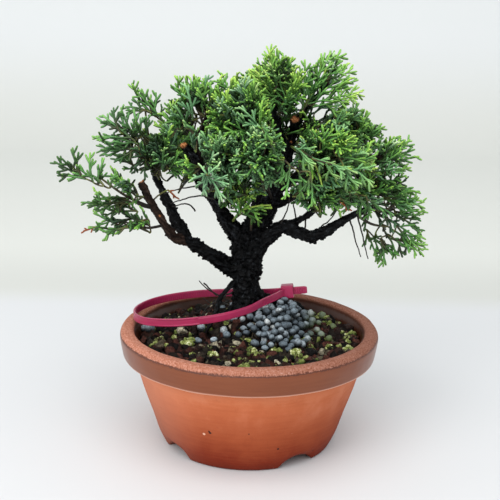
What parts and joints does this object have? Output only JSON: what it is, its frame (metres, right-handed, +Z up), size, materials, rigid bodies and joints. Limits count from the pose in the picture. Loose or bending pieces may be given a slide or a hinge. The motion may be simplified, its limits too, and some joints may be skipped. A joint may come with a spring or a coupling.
{
  "type": "bonsai tree in a pot",
  "caption": "Juniper bonsai with a spreading crown of scale foliage on a dark forked trunk, in a round terracotta training pot.",
  "frame": {"origin": "on the pot's axis at the level of its feet, which is the middle of the bounding box's base", "axes": "+Z up, -Y towards the front of the tree as pictured, +X to the right"},
  "size_m": [0.2073, 0.15, 0.2292],
  "materials": {
    "terracotta": "matte unglazed clay with a smoother brown slip on the collar and a worn pinkish lip",
    "screen_plastic": "matte black moulded mesh",
    "staple_wire": "dull drawn wire",
    "soil": "damp granular mix of dark brown, black and reddish grains",
    "bark": "rough flaky near-black bark",
    "fertiliser": "matte blue-grey coated prills",
    "nylon": "smooth crimson nylon with a satin gloss",
    "moss": "soft yellow-green moss and algae",
    "leaf": "waxy scale leaves, mid to blue green, brighter yellow-green at the tips"
  },
  "bodies": {
    "root": {"pot": "terracotta", "drain_screen": "screen_plastic", "screen_staple": "staple_wire", "soil": "soil", "trunk_and_limbs": "bark", "fertiliser_heap": "fertiliser", "cable_tie": "nylon", "foliage_back": "leaf", "foliage_back_crown": "leaf", "foliage_back_left": "leaf", "foliage_back_right": "leaf", "foliage_centre_front": "leaf", "foliage_centre_low": "leaf", "foliage_crown_front": "leaf", "foliage_crown_right": "leaf", "foliage_crown_top": "leaf", "foliage_left_crown": "leaf", "foliage_left_inner": "leaf", "foliage_left_low": "leaf", "foliage_left_shelf": "leaf", "foliage_left_tip": "leaf", "foliage_left_under": "leaf", "foliage_right_back": "leaf", "foliage_right_droop": "leaf", "foliage_right_front": "leaf", "foliage_right_inner": "leaf", "foliage_right_low": "leaf", "foliage_right_tip": "leaf", "foliage_right_upper": "leaf", "foliage_trunk_front": "leaf", "foliage_trunk_sprig": "leaf", "foliage_upper_left": "leaf", "moss_tuft_1": "moss", "moss_tuft_2": "moss", "moss_tuft_3": "moss", "moss_tuft_4": "moss", "moss_tuft_5": "moss", "moss_tuft_6": "moss"}
  },
  "joints": []
}
